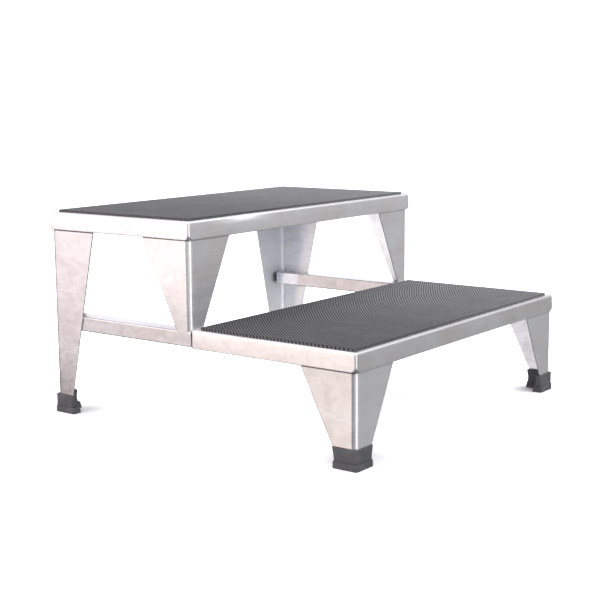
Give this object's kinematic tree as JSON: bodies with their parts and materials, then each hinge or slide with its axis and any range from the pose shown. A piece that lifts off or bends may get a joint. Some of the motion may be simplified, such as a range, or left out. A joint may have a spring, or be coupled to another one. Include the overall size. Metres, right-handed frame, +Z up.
{
  "type": "mounting block",
  "caption": "Low free-standing two-step mounting block: folded stainless treads with ribbed rubber mats on tapered angle legs, box side rails and rubber boots.",
  "frame": {"origin": "centre of the footprint, on the floor under the boots", "axes": "+X to the right when facing the steps, +Y to the back (the upper tread's side), +Z up; the lower tread is towards -Y"},
  "size_m": [0.5236, 0.5076, 0.283],
  "materials": {
    "stainless": "fine-grained satin",
    "weld": "brushed-off weld bead",
    "mat_rubber": "ribbed, matt",
    "boot_rubber": "moulded, matt"
  },
  "bodies": {
    "root": {"upper_tread": "stainless", "lower_tread": "stainless", "rear_leg_left": "stainless", "rear_leg_right": "stainless", "post_left": "stainless", "post_right": "stainless", "front_leg_left": "stainless", "front_leg_right": "stainless", "rail_left": "stainless", "rail_right": "stainless", "upper_stiffener": "stainless", "lower_stiffener": "stainless", "upper_tread_welds": "weld", "lower_tread_welds": "weld", "rail_welds": "weld", "stiffener_welds": "weld", "upper_mat": "mat_rubber", "lower_mat": "mat_rubber", "rear_boot_left": "boot_rubber", "rear_boot_right": "boot_rubber", "front_boot_left": "boot_rubber", "front_boot_right": "boot_rubber"}
  },
  "joints": []
}
